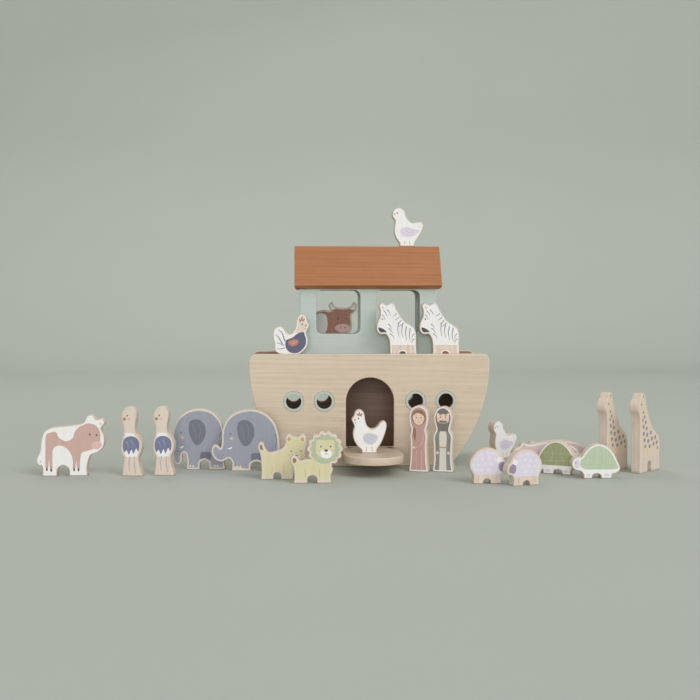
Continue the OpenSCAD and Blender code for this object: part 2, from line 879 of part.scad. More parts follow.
module giraffe_2() {
    color("#e2cfae")
        cutout(GIRAFFE, giraffe_height, before(giraffe_2_at), 45);
}

module noah() {
    color("#8a8881")
        cutout(NOAH, noah_height, before(noah_at), -20);
}

module wife() {
    color("#b78f86")
        cutout(WIFE, wife_height, before(wife_at), -20);
}

hull_front_panel();
hull_back_panel();
hull_bow_wall();
hull_stern_wall();
hull_floor();
deck();
front_porthole_rings();
back_porthole_rings();
hull_dowels();
cabin_front_wall();
cabin_back_wall();
cabin_left_wall();
cabin_right_wall();
cabin_dowels();
roof_front_board();
roof_back_board();
roof_ridge_bar();
roof_cleats();
ramp_door();
ramp_hinge_pin();
ramp_hinge_eyes();
cow();
bull();
ostrich_1();
ostrich_2();
elephant_1();
elephant_2();
lioness();
lion();
hen();
rooster();
zebra_1();
zebra_2();
dove_1();
dove_2();
sheep_1();
sheep_2();
tortoise_1();
tortoise_2();
hippo_1();
hippo_2();
giraffe_1();
giraffe_2();
noah();
wife();
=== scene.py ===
"""Toy ark of painted boards with printed cut-out figures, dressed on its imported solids.

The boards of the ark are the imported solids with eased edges. Each figure is built anew on the
outline of its solid: a board with a rounded rim, printed on both faces.
"""

import bpy
import numpy as np
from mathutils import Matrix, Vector
from mathutils.geometry import delaunay_2d_cdt


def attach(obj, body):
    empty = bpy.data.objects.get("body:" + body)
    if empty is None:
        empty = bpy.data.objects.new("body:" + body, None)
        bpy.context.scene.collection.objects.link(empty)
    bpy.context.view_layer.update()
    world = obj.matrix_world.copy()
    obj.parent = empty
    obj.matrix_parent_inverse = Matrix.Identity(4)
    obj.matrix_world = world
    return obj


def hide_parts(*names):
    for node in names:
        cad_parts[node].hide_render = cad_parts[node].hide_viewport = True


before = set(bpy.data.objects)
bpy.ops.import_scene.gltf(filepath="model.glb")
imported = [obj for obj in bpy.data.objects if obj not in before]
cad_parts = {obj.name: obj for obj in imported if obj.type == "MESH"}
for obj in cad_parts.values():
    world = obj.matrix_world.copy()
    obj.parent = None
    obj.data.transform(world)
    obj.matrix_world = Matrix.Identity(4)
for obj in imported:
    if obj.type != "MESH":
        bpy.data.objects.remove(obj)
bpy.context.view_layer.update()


# Materials


def linear(colour):
    """A colour written as sRGB hex, as linear red, green, blue and alpha."""
    srgb = np.array([int(colour[i:i + 2], 16) for i in (1, 3, 5)]) / 255
    rgb = np.where(srgb <= 0.04045, srgb / 12.92, ((srgb + 0.055) / 1.055) ** 2.4)
    return (*rgb, 1.0)


def blank(name):
    """A new material and its node tree, which is still empty."""
    material = bpy.data.materials.new(name)
    material.use_nodes = True
    material.node_tree.nodes.clear()
    return material, material.node_tree


def add(tree, kind, inputs, **settings):
    """Adds a node with its settings; an input is linked to another node's output or set to a value."""
    node = tree.nodes.new("ShaderNode" + kind)
    for key, value in settings.items():
        setattr(node, key, value)
    for key, value in inputs.items():
        if isinstance(value, bpy.types.NodeSocket):
            tree.links.new(value, node.inputs[key])
        else:
            node.inputs[key].default_value = value
    return node.outputs


# Numbers of the colour sockets of a Mix node.
FACTOR, FIRST, SECOND, RESULT = 0, 6, 7, 2

# Grain of birch and beech: streaks 3.5 mm wide and 90 mm long, along the named axis. Most of their noise
# lies within SPREAD of its middle, 0.5.
ACROSS, ALONG = 1 / 0.0035, 1 / 0.090
GRAIN = {"X": (ALONG, ACROSS, ACROSS), "Y": (ACROSS, ALONG, ACROSS), "Z": (ACROSS, ACROSS, ALONG)}
SPREAD = 0.22

# Growth rings 5 mm apart about a heart line along that axis, where a Wave node draws 20 of them in 2 pi:
# the scale that slows their wander along the grain, the turn that tilts them so that they run out in
# arches, and the heart's place in metres.
RING = 2 * np.pi / 20 / 0.005
TILT = np.radians(40)
HEART = {
    "X": ((0.05, 1, 1), (0, 0, TILT), (0, 0.095, -0.035)),
    "Y": ((1, 0.05, 1), (TILT, 0, 0), (0, 0, -0.09)),
    "Z": ((1, 1, 0.05), (TILT, 0, 0), (0.02, -0.06, 0)),
}

# The most that the slow mottling lightens the grain.
VEIL = 0.35

# Painted shade inside the hull, a brown dark and light that stands in for the shade of the hold. On the
# panels it reaches 51.3 mm from the hull's middle plane, which is 0.3 mm deep in them; on the floor and
# the ends it covers what faces the middle of the hull's top.
HOLD_SHADE_DARK, HOLD_SHADE_LIGHT = "#86664F", "#9B7A61"
HOLD_SHADE_REACH = 0.0513
HULL_TOP_MIDDLE = (0.0, 0.0, 0.14)


def finish(name, light, dark, grain="X", contrast=1.0, rings=0.5, rough=(0.45, 0.6), relief=0.00004,
           mottle=0.012, coat=0.0, inside=None):
    """A material of wood, paint or ink: streaks of grain and growth rings from light to dark, a slower
    mottling of the given width in metres, relief in metres, and a brown painted shade on what lies or
    faces inside the hull."""
    material, tree = blank(name)
    place = add(tree, "TexCoord", {})["Object"]
    run = add(tree, "Mapping", {"Vector": place, "Scale": GRAIN[grain]})["Vector"]
    streak = add(tree, "TexNoise", {"Vector": run, "Scale": 1.0, "Detail": 5.0, "Roughness": 0.62,
                                    "Distortion": 0.4})["Fac"]
    half = SPREAD / contrast
    shade = add(tree, "MapRange", {"Value": streak, "From Min": 0.5 - half, "From Max": 0.5 + half,
                                   "To Min": rings / 3, "To Max": 1 + rings / 3})["Result"]
    scale, turn, heart = HEART[grain]
    bent = add(tree, "Mapping", {"Vector": place, "Scale": scale, "Rotation": turn,
                                 "Location": heart})["Vector"]
    ring = add(tree, "TexWave", {"Vector": bent, "Scale": RING, "Distortion": 5.0, "Detail": 3.0,
                                 "Detail Scale": 0.35, "Detail Roughness": 0.6},
               wave_type="RINGS", rings_direction=grain, wave_profile="SAW")["Fac"]
    shade = add(tree, "Math", {0: ring, 1: -rings, 2: shade}, operation="MULTIPLY_ADD",
                use_clamp=True)["Value"]
    body = add(tree, "Mix", {FACTOR: shade, FIRST: linear(dark), SECOND: linear(light)},
               data_type="RGBA")[RESULT]
    cloud = add(tree, "TexNoise", {"Vector": place, "Scale": 1 / mottle, "Detail": 2.0})["Fac"]
    veil = add(tree, "MapRange", {"Value": cloud, "From Min": 0.3, "From Max": 0.7, "To Max": VEIL})["Result"]
    body = add(tree, "Mix", {FACTOR: veil, FIRST: body, SECOND: linear(light)}, data_type="RGBA")[RESULT]
    if inside:
        if inside == "between panels":
            y = add(tree, "SeparateXYZ", {"Vector": place})["Y"]
            depth = add(tree, "Math", {0: y}, operation="ABSOLUTE")["Value"]
            within = add(tree, "Math", {0: depth, 1: HOLD_SHADE_REACH}, operation="LESS_THAN")["Value"]
        else:
            out = add(tree, "NewGeometry", {})["Normal"]
            away = add(tree, "VectorMath", {0: place, 1: HULL_TOP_MIDDLE}, operation="SUBTRACT")["Vector"]
            side = add(tree, "VectorMath", {0: out, 1: away}, operation="DOT_PRODUCT")["Value"]
            within = add(tree, "Math", {0: side, 1: 0.0}, operation="LESS_THAN")["Value"]
        # Painted shade: what lies or faces inside the hull turns a darker brown, standing in for the shade of
        # the hold.
        hold_shade = add(tree, "Mix", {FACTOR: shade, FIRST: linear(HOLD_SHADE_DARK), SECOND: linear(HOLD_SHADE_LIGHT)},
                    data_type="RGBA")[RESULT]
        body = add(tree, "Mix", {FACTOR: within, FIRST: body, SECOND: hold_shade}, data_type="RGBA")[RESULT]
    gloss = add(tree, "MapRange", {"Value": streak, "To Min": rough[1], "To Max": rough[0]})["Result"]
    skin = add(tree, "Bump", {"Height": streak, "Strength": 1.0, "Distance": relief})["Normal"]
    shader = add(tree, "BsdfPrincipled", {"Base Color": body, "Roughness": gloss, "Normal": skin, "IOR": 1.5,
                                          "Coat Weight": coat, "Coat Roughness": 0.3})["BSDF"]
    add(tree, "OutputMaterial", {"Surface": shader})
    return material


def steel():
    """Drawn steel wire: bright, with fine lines 0.4 mm apart and 20 mm long along the pin."""
    material, tree = blank("steel_drawn")
    place = add(tree, "TexCoord", {})["Object"]
    run = add(tree, "Mapping", {"Vector": place, "Scale": (1 / 0.02, 1 / 0.0004, 1 / 0.0004)})["Vector"]
    line = add(tree, "TexNoise", {"Vector": run, "Scale": 1.0, "Detail": 2.0})["Fac"]
    gloss = add(tree, "MapRange", {"Value": line, "To Min": 0.25, "To Max": 0.42})["Result"]
    shader = add(tree, "BsdfPrincipled", {"Base Color": linear("#C4C4C2"), "Metallic": 1.0,
                                          "Roughness": gloss})["BSDF"]
    add(tree, "OutputMaterial", {"Surface": shader})
    return material


# Birch, planed and lacquered: pale straw streaks, a soft shine, and a brown painted shade inside the hull.
BIRCH = ("#D1C1AD", "#C4B097")
hull_side = finish("birch_lacquered_painted_shade_inside", *BIRCH, coat=0.15, inside="between panels")
hull_base = finish("birch_floor_painted_shade_inside", *BIRCH, coat=0.15, inside="faces in")
# The same birch bent round the ends, with its grain across them.
hull_end = finish("birch_bent_painted_shade_inside", *BIRCH, grain="Y", coat=0.15, inside="faces in")
# The same birch with no painted shade, on the deck and the ramp.
deck_wood = finish("birch_lacquered", *BIRCH, coat=0.15)
# The same birch where its edges are sanded round: paler, and duller than the lacquered faces.
hull_edge = finish("birch_edge_sanded", "#DCCCBA", "#CEB9A0", rough=(0.55, 0.65))
# Matt water-based paint, rolled on: the grain only just shows through it.
mint = finish("matt_paint_mint", "#BAC4BE", "#B1BCB5", contrast=0.8, rings=0.2, rough=(0.55, 0.65),
              mottle=0.03)
# The same paint rubbed thin along the edges, where the pale primer shows.
mint_edge = finish("matt_paint_mint_rubbed", "#CAD1CC", "#B6C0B9", contrast=1.4, rough=(0.5, 0.6),
                   mottle=0.006)
# Stained and matt-varnished wood: the grain stays dark in the red-brown.
terracotta = finish("wood_stain_terracotta", "#AE734A", "#9D643D", rough=(0.5, 0.62))
# The same stain sanded through a little along the edges.
terracotta_edge = finish("wood_stain_terracotta_sanded", "#BE895C", "#A56E42", contrast=1.4, rough=(0.5, 0.6),
                         mottle=0.006)
# Turned beech dowel, left bare.
beech = finish("beech_turned", "#D2AC7E", "#B98F62", grain="Z")
# Drawn steel wire for the ramp's hinge, bright along fine lines.
pin_steel = steel()
# Bare birch at the sawn and rounded edges of the figures, and where no ink is printed.
bare = finish("birch_sanded", "#DCCEC2", "#CEBBAA", grain="Z", rough=(0.55, 0.7))

# Screen-printing inks on birch: matt, even, with a breath of the grain under them.
INK_COLOURS = {
    "white": ("#EAE9E8", "#E2DFDD"), "light_grey": ("#C9CBD2", "#BFC1C9"), "grey": ("#989BA8", "#8D909D"),
    "dark_grey": ("#70717F", "#676876"), "dark": ("#4A4448", "#423C40"), "slate": ("#757A97", "#6A6F8C"),
    "navy": ("#5D5C78", "#54536E"), "spot": ("#8F90A3", "#848598"), "lilac": ("#D8D2DE", "#CEC8D6"),
    "plum": ("#9A8CA0", "#8F8196"), "hippo_pink": ("#D6BFC2", "#CCB4B8"), "pink": ("#DDB9B1", "#D3ACA4"),
    "blush": ("#E0B0A2", "#DAA698"), "skin": ("#EBCFBC", "#E4C5B0"), "cream": ("#DACEC2", "#D0C2B5"),
    "tan": ("#DECDB8", "#D4C1A8"), "tunic": ("#D9D5C9", "#CFCABC"), "lion_yellow": ("#D4CCA6", "#CAC29A"),
    "ochre": ("#C79A62", "#BC8E56"), "rust": ("#B87A68", "#AC6E5C"), "robe": ("#C09A93", "#B58E87"),
    "cow_brown": ("#C8A79D", "#BD9B91"), "bull_brown": ("#AC7B66", "#9E6D59"), "hair": ("#9A7058", "#8E644D"),
    "beard": ("#77746F", "#6C6964"), "coat": ("#8B8982", "#807E77"), "sage": ("#B4BCA2", "#A9B196"),
    "shell": ("#B7C4AA", "#ACBA9E"), "olive": ("#9FA27A", "#93966E"),
}
INKS = {name: finish("print_ink_" + name, light, dark, grain="Z", contrast=0.8, rings=0.2, rough=(0.5, 0.62),
                     relief=0.00002, mottle=0.008) for name, (light, dark) in INK_COLOURS.items()}
INKS["bare"] = bare


# Boards of the ark

# Boards with a like finish: their names, the finish of their faces and of their eased edges, the radius of
# those edges, and how near two corners of a solid lie that are made one first, both in metres.
BOARDS = (
    (("hull_front_panel", "hull_back_panel"), hull_side, hull_edge, 0.0012, 0.00001),
    (("hull_bow_wall", "hull_stern_wall"), hull_end, hull_edge, 0.0006, 0.00001),
    (("hull_floor",), hull_base, hull_edge, 0.0006, 0.00001),
    (("deck",), deck_wood, hull_edge, 0.0006, 0.00001),
    (("ramp_door",), deck_wood, hull_edge, 0.001, 0.00001),
    (("front_porthole_rings", "back_porthole_rings"), mint, mint_edge, 0.0004, 0.00001),
    (("cabin_front_wall", "cabin_back_wall"), mint, mint_edge, 0.0008, 0.00001),
    (("cabin_left_wall", "cabin_right_wall"), mint, mint_edge, 0.0008, 0.00001),
    (("roof_front_board", "roof_back_board"), terracotta, terracotta_edge, 0.0008, 0.0007),
    (("roof_ridge_bar", "roof_cleats"), terracotta, terracotta_edge, 0.001, 0.00001),
    (("hull_dowels", "cabin_dowels"), beech, beech, 0.0004, 0.00001),
    (("ramp_hinge_pin", "ramp_hinge_eyes"), pin_steel, pin_steel, 0.0003, 0.00001),
)

# Faces that turn by less than FLAT are made one, and edges that turn by more than SHARP are eased in
# EASING_STEPS.
FLAT, SHARP, EASING_STEPS = np.radians(0.5), np.radians(40), 3


def ease(name, face, edge, radius, join):
    """Gives a packed board its finish, and edges eased to a radius with a finish of their own: corners
    nearer than join are welded, flat faces made one, and sharp edges bevelled round."""
    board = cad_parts[name]
    board.data.materials.clear()
    board.data.materials.append(face)
    board.data.materials.append(edge)
    weld = board.modifiers.new("weld", "WELD")
    weld.merge_threshold = join
    flat = board.modifiers.new("flat_faces", "DECIMATE")
    flat.decimate_type = "DISSOLVE"
    flat.angle_limit = FLAT
    bevel = board.modifiers.new("eased_edges", "BEVEL")
    bevel.width = radius
    bevel.segments = EASING_STEPS
    bevel.limit_method = "ANGLE"
    bevel.angle_limit = SHARP
    bevel.harden_normals = True
    bevel.use_clamp_overlap = False
    bevel.material = 1


for names, face, edge, radius, join in BOARDS:
    for name in names:
        ease(name, face, edge, radius, join)


# Shapes of the prints, in hundredths of a figure's height, for a figure that faces left

# Steps to each span of a curve, points round an oval, and points round the end of a stroke.
SPAN_STEPS, OVAL_POINTS, TIP_POINTS = 6, 28, 5

# Heights below and above every figure, and half a width beyond every figure.
BOTTOM, TOP, BEYOND = -50, 150, 200


def curve(points, closed):
    """A smooth curve through the points: a Catmull-Rom spline with even steps to each span."""
    p = np.array(points, float)
    if closed:
        p = np.concatenate([p[-1:], p, p[:2]])
    else:
        p = np.concatenate([2 * p[:1] - p[1:2], p, 2 * p[-1:] - p[-2:-1]])
    t = (np.arange(SPAN_STEPS) / SPAN_STEPS)[None, :, None]
    a, b, c, d = p[:-3, None], p[1:-2, None], p[2:-1, None], p[3:, None]
    bend, twist = 2 * a - 5 * b + 4 * c - d, 3 * b - a - 3 * c + d
    whole = (0.5 * (2 * b + (c - a) * t + bend * t ** 2 + twist * t ** 3)).reshape(-1, 2)
    return whole if closed else np.concatenate([whole, p[-2:-1]])


def blob(*points):
    """A closed smooth shape through the points."""
    return curve(points, True)


def oval(x, y, rx, ry, turn=0.0):
    """An ellipse about (x, y) with its half widths, turned by an angle in degrees."""
    t = np.linspace(0, 2 * np.pi, OVAL_POINTS, endpoint=False)
    c, s = np.cos(np.radians(turn)), np.sin(np.radians(turn))
    u, v = rx * np.cos(t), ry * np.sin(t)
    return np.stack([x + u * c - v * s, y + u * s + v * c], 1)


def stroke(first, last, *points):
    """A brush stroke along a smooth line, whose width runs from first to last, with round ends."""
    line = curve(points, False)
    way = np.gradient(line, axis=0)
    way /= np.linalg.norm(way, axis=1, keepdims=True)
    side = np.stack([-way[:, 1], way[:, 0]], 1)
    width = np.linspace(first, last, len(line))[:, None] / 2
    t = np.linspace(0, np.pi, TIP_POINTS + 2)[1:-1, None]
    tip = line[-1] + width[-1] * (side[-1] * np.cos(t) + way[-1] * np.sin(t))
    tail = line[0] - width[0] * (side[0] * np.cos(t) + way[0] * np.sin(t))
    return np.concatenate([line + side * width, tip, (line - side * width)[::-1], tail])


def band(low, high):
    """All of the print between two heights."""
    return np.array([[-BEYOND, low], [BEYOND, low], [BEYOND, high], [-BEYOND, high]], float)


def ovals(ink, rx, ry, *places):
    """Upright ovals of one ink and size, one at each place."""
    return [(ink, oval(x, y, rx, ry)) for x, y in places]


def strokes(ink, first, last, *lines):
    """Brush strokes of one ink and width, one along each line of points."""
    return [(ink, stroke(first, last, *line)) for line in lines]


def eye(x, y, r=1.5):
    """A dark eye of half width r, a quarter higher than wide, with a small light in its upper left."""
    return [("dark", oval(x, y, r, r * 1.25)), ("white", oval(x - r * 0.3, y + r * 0.45, r * 0.3, r * 0.3))]


EVERYWHERE = band(BOTTOM, TOP)

COW = [
    ("cow_brown", blob(
        [40, 66], [33, 71], [24, 72], [19, 63], [8, 57], [-3, 62], [-7, 73], [-16, 82], [-26, 86], [-38, 84],
        [-46, 76], [-48, 64], [-46, 53], [-38, 45], [-27, 41], [-18, 38], [-15, 28], [-14, 13], [-10, 12],
        [-9, 25], [-7, 13], [-3, 12], [-3, 25], [0, 36], [8, 46], [19, 50], [28, 45], [30, 30], [30, 12],
        [34, 11], [35, 28], [37, 14], [41, 13], [41, 40])),
    ("pink", oval(-42, 50, 8.5, 6.5, -12)),
    *ovals("cow_brown", 0.9, 1.4, (-46, 51), (-40, 49.5)),
    *ovals("dark", 1.5, 2.6, (-12, 10), (-5, 10), (32, 9.5), (39, 11)),
    ("pink", oval(-48.5, 85, 2.6, 1.8, 50)),
    ("light_grey", oval(49, 24, 1.3, 2.6, 20)),
    *eye(-42, 67), *eye(-31, 68),
]
BULL = [
    ("bull_brown", EVERYWHERE),
    ("white", blob([-2, 76], [12, 78], [20, 62], [14, 44], [4, 38], [-4, 46], [-6, 62])),
    ("white", blob([-62, 90], [-59, 101], [-51, 101], [-46, 90], [-53, 85])),
    ("white", blob([-22, 90], [-17, 101], [-9, 101], [-6, 90], [-15, 85])),
    ("pink", blob([-47, 55], [-34.5, 59], [-22, 55], [-22, 47], [-34.5, 42], [-47, 47])),
    *ovals("bull_brown", 1.2, 1.8, (-38.5, 52), (-30.5, 52)),
    *eye(-43, 69), *eye(-26, 69),
    *ovals("dark", 6, 4, (-13, 5), (35, 5)),
]
OSTRICH = [
    ("cream", band(57, TOP)),
    ("white", blob([-17, 58], [0, 62], [18, 56], [20, 36], [10, 28], [-8, 28], [-17, 38])),
    ("slate", blob(
        [-12, 48], [-6, 56], [4, 57], [11, 52], [13, 44], [11, 35], [8, 40], [4, 32], [1, 38], [-3, 31],
        [-6, 37], [-10, 34])),
    *strokes("light_grey", 0.5, 0.2, ([-7, 50], [-4, 45], [-4, 40]), ([0, 52], [3, 46], [3, 41])),
    ("blush", oval(-2, 82, 2.2, 1.6)),
    ("rust", blob([-12, 82], [-9, 84.5], [-6.5, 82], [-9, 79.5])),
    *eye(-5, 87, 1.1),
    *strokes("plum", 0.9, 0.7, ([-2, 28], [-3, 16], [-2, 5]), ([5, 28], [5, 16], [7, 5])),
]
ELEPHANT_FACE = [*eye(-29, 61, 1.3), ("blush", oval(-27, 53, 2.6, 2))]
ELEPHANT_EAR = [
    ("dark_grey", blob([-14, 79], [-2, 83], [9, 75], [12, 60], [6, 46], [-3, 40], [-11, 48], [-16, 64])),
    *strokes("grey", 0.5, 0.3, ([-10, 74], [-6, 62], [-5, 50]), ([0, 76], [3, 64], [0, 50])),
]
ELEPHANT_DOWN = [
    ("grey", EVERYWHERE),
    ("dark_grey", blob([3, 27], [9, 29], [20, 27], [19, 16], [10, 19], [3, 16])),
    *ELEPHANT_EAR, *ELEPHANT_FACE,
    ("white", stroke(2.4, 0.8, [-26, 38], [-29, 36], [-31, 37])),
    *strokes("dark_grey", 0.7, 0.7, ([-37, 30], [-34, 31], [-30, 30]), ([-38, 24], [-35, 25], [-31, 24])),
    ("dark_grey", stroke(1.6, 0.8, [36, 60], [38, 48], [36, 38])),
    *ovals("cream", 1.7, 1.7, (-14, 5.5), (-9, 5.5), (26, 5.5), (31, 5.5)),
]
ELEPHANT_CURL = [
    ("grey", EVERYWHERE),
    ("dark_grey", blob([5, 27], [13, 29], [24, 27], [23, 16], [13, 19], [5, 16])),
    *[(ink, shape + (-2, 0)) for ink, shape in ELEPHANT_EAR], *ELEPHANT_FACE,
    ("white", stroke(2.4, 0.8, [-28, 38], [-31, 36], [-34, 37])),
    *strokes("dark_grey", 0.7, 0.7, ([-45, 20], [-43, 24], [-41, 27]), ([-50, 21], [-48, 24], [-47, 28])),
    ("dark_grey", stroke(1.6, 0.8, [44, 60], [46, 48], [44, 38])),
    *ovals("cream", 1.7, 1.7, (-18, 7), (-13, 7), (32, 7), (37, 7)),
]
LIONESS = [
    ("lion_yellow", EVERYWHERE),
    ("white", blob([-41, 46], [-34, 54], [-25, 55], [-18, 46], [-22, 36], [-32, 33], [-40, 38])),
    ("dark", blob([-33.5, 53], [-29.5, 54], [-26, 53], [-29.5, 49])),
    *strokes("dark", 0.7, 0.7, ([-29.5, 49], [-30, 45], [-33, 43]), ([-30, 45], [-27, 43])),
    *eye(-41, 62), *eye(-19, 62),
    *ovals("blush", 3, 2.2, (-44, 53), (-14, 53)),
    *ovals("ochre", 3.2, 4, (-44, 88), (-14.5, 89)),
    ("hair", blob([39, 74], [45, 82], [53, 76], [50, 67], [43, 66])),
    *strokes("ochre", 0.8, 0.8, ([-3, 30], [-2, 20], [-3, 12]), ([24, 30], [23, 20], [24, 12])),
    *strokes("ochre", 0.9, 0.9, *[([x, 6], [x, 2]) for x in (-16, -10, 30, 36)]),
]


def mane(x, y, count, near, far, sway):
    """Fine strokes spread evenly about (x, y), from a near to a far radius, with a slight sway in radians."""
    a = np.radians(np.arange(count) * 360 / count)
    b = a + sway
    roots = np.stack([x + near * np.cos(a), y + near * np.sin(a)], 1)
    tips = np.stack([x + far * np.cos(b), y + far * np.sin(b)], 1)
    return strokes("olive", 0.7, 0.3, *zip(roots, tips))


LION = [
    ("lion_yellow", EVERYWHERE),
    ("sage", oval(-14, 66, 29, 29)),
    *mane(-14, 66, 28, 22, 27, 0.06),
    ("lion_yellow", blob(
        [-32, 70], [-31, 82], [-22, 84], [-14, 83], [-5, 84], [3, 82], [4, 70], [3, 58], [-4, 51], [-14, 49],
        [-24, 51], [-31, 58])),
    ("white", blob([-27, 59], [-21, 65], [-14, 64], [-8, 64], [-5, 57], [-9, 50], [-17, 48], [-25, 51])),
    ("dark", blob([-20, 64.5], [-16, 65.5], [-12, 64.5], [-16, 60.5])),
    *strokes("dark", 0.7, 0.7, ([-16, 61], [-16.5, 57], [-19.5, 55]), ([-16.5, 57], [-13.5, 55])),
    *eye(-25, 71), *eye(-6, 71),
    *ovals("blush", 2.6, 2, (-28, 63), (-1.5, 63)),
    ("hair", blob([41, 48], [48, 56], [56, 47], [52, 39], [44, 40])),
    *strokes("ochre", 0.8, 0.8, ([-4, 28], [-3, 18], [-4, 11]), ([25, 28], [24, 18], [25, 11])),
    *strokes("ochre", 0.9, 0.9, *[([x, 6], [x, 2]) for x in (-17, -11, 31, 37)]),
]
HEN = [
    ("white", band(11, TOP)),
    ("light_grey", blob([-14, 40], [-4, 46], [10, 44], [20, 38], [17, 28], [8, 20], [-4, 20], [-13, 27])),
    *strokes("grey", 0.9, 0.5, ([-12, 36], [-4, 27], [6, 24]), ([-7, 40], [2, 32], [12, 30]),
             ([-1, 43], [8, 37], [16, 36])),
    *strokes("rust", 4, 3, ([-25, 87], [-31, 93]), ([-22, 88], [-24, 96]), ([-19, 86], [-17, 93])),
    ("ochre", blob([-40, 77], [-34, 80], [-31, 77], [-34, 74])),
    ("rust", oval(-33, 69, 2.2, 3.4, 12)),
    *eye(-25, 80, 1.6),
    *strokes("light_grey", 1, 0.6, ([24, 60], [31, 66]), ([26, 54], [34, 59])),
    *strokes("ochre", 1.4, 1.2, ([-6, 14], [-7, 4]), ([6, 14], [7, 4])),
    *strokes("ochre", 1.2, 0.9, ([-11, 3], [-7, 5], [-3, 3]), ([3, 3], [7, 5], [11, 3])),
]
ROOSTER = [
    ("white", band(9, TOP)),
    ("cream", blob([-45, 78], [-36, 100], [-16, 100], [-6, 84], [-8, 62], [-20, 56], [-32, 56], [-40, 64])),
    ("navy", blob(
        [-36, 56], [-26, 60], [-14, 56], [-4, 48], [6, 44], [12, 40], [12, 26], [4, 15], [-10, 12], [-24, 16],
        [-34, 28], [-38, 42])),
    ("rust", blob([-18, 40], [-8, 44], [4, 40], [6, 34], [-2, 28], [-12, 30])),
    *strokes("cream", 0.9, 0.5, ([-13, 38], [-6, 34], [1, 33]), ([-9, 41], [-2, 37], [3, 37])),
    *strokes("rust", 3.6, 2.8, ([-27, 86], [-33, 92]), ([-24, 87], [-26, 95]), ([-21, 85], [-19, 92])),
    ("rust", oval(-33.5, 66, 2.2, 4)),
    ("ochre", blob([-41, 75], [-35, 78], [-32, 75], [-35, 72])),
    *eye(-26, 78, 1.6),
    ("navy", stroke(2.6, 1, [14, 40], [20, 58], [28, 65])),
    ("navy", stroke(2.4, 1, [20, 34], [28, 48], [35, 54])),
    *strokes("slate", 2, 1, ([16, 30], [26, 34], [35, 36]), ([14, 24], [24, 22], [33, 22])),
    *strokes("ochre", 1.4, 1.2, ([-6, 11], [-7, 3]), ([6, 11], [7, 3])),
]
ZEBRA = [
    ("bare", band(BOTTOM, 24)),
    ("white", band(24, TOP)),
    ("dark", blob([-39, 53], [-34, 56], [-24, 52], [-20, 46], [-25, 40], [-36, 42])),
    *strokes("spot", 1.8, 0.7, *[([x, y], [x + 4, y - 5], [x + 6, y - 10])
                                 for x, y in ((-29, 80), (-25, 86), (-19, 88))]),
    *strokes("spot", 2.2, 0.8, *[([x, y], [x - 4, y - 5], [x - 9, y - 8])
                                 for x, y in ((0, 84), (4, 77), (8, 71), (12, 66))]),
    *strokes("spot", 2, 0.8, ([-17, 62], [-13, 58], [-11, 53]), ([-16, 54], [-12, 50], [-9, 45]),
             ([-13, 44], [-9, 41], [-6, 36])),
    *strokes("spot", 2.2, 0.8, *[([x, y], [x - 1.5, y - 12], [x + 0.5, y - 24])
                                 for x, y in ((2, 64), (9, 61), (16, 57), (23, 54))]),
    *strokes("spot", 2, 0.8, ([33, 46], [28, 42], [26, 36]), ([33, 36], [28, 33], [26, 28])),
    ("dark", stroke(2, 1, [-9, 97], [-3, 90], [3, 80])),
    ("pink", oval(-27, 92, 1.6, 3, 15)),
    *eye(-28, 71, 1.3),
    ("cream", stroke(0.8, 0.6, [9, 24], [9, 14])),
]
DOVE = [
    ("white", band(10, TOP)),
    ("lilac", blob(
        [-18, 42], [-6, 50], [8, 48], [22, 44], [32, 40], [24, 32], [10, 24], [-6, 24], [-16, 30])),
    *strokes("plum", 0.8, 0.4, ([-12, 36], [0, 30], [14, 30]), ([-7, 41], [6, 36], [20, 36]),
             ([0, 45], [12, 41], [24, 40])),
    ("ochre", blob([-39, 83], [-34, 86], [-31, 83], [-34, 80])),
    *eye(-26, 86, 1.6),
    *strokes("lilac", 1, 0.6, ([28, 55], [36, 57]), ([28, 50], [37, 51])),
    *strokes("rust", 1.2, 1, ([-6, 13], [-7, 4]), ([6, 13], [7, 4])),
]
SHEEP = [
    ("lilac", band(26, TOP)),
    *strokes("white", 1.5, 1, *[([x - 4, y - 2], [x, y + 3.5], [x + 4, y + 1], [x + 2, y - 2.5]) for x, y in (
        (-14, 84), (4, 87), (21, 82), (-20, 68), (-2, 71), (16, 68), (34, 68), (-8, 54), (9, 53), (27, 52),
        (42, 52), (0, 38), (18, 37), (35, 38))]),
    ("plum", blob([-54, 42], [-50, 54], [-40, 62], [-31, 58], [-29, 46], [-34, 36], [-44, 33])),
    ("white", blob([-44, 66], [-38, 74], [-28, 72], [-24, 62], [-31, 59], [-38, 61])),
    ("lilac", stroke(3.4, 2, [-30, 57], [-25, 54], [-23, 49])),
    *eye(-43, 50, 1.7),
    ("dark", oval(-52, 44, 1.4, 1.2)),
    *strokes("plum", 1.2, 1, ([-22, 20], [-22, 8]), ([29, 20], [29, 8])),
]


def tortoise(shell):
    """The print of a tortoise with a shell of the given ink."""
    return [
        ("white", EVERYWHERE),
        (shell, blob(
            [-44, 56], [-36, 74], [-19, 90], [4, 98], [26, 93], [45, 78], [57, 59], [66, 38], [62, 28],
            [40, 26], [0, 26], [-34, 27], [-46, 38])),
        *strokes("sage", 1.2, 1.2, ([-44, 42], [-10, 40], [30, 40], [62, 42]),
                 ([-14, 41], [-6, 62], [-14, 84]), ([24, 41], [17, 62], [26, 86]),
                 ([-36, 62], [-6, 62], [17, 62], [50, 62]), ([-26, 41], [-27, 28]), ([5, 40], [5, 28]),
                 ([40, 40], [41, 28])),
        ("lilac", blob([-67, 36], [-66, 52], [-56, 57], [-48, 50], [-48, 36], [-54, 28], [-62, 28])),
        *eye(-60, 46, 1.7),
        ("plum", stroke(0.9, 0.9, [-66, 37], [-62, 35], [-58, 36])),
        ("lilac", oval(-23, 8, 7, 7)),
        ("lilac", oval(31, 8, 9, 7)),
    ]


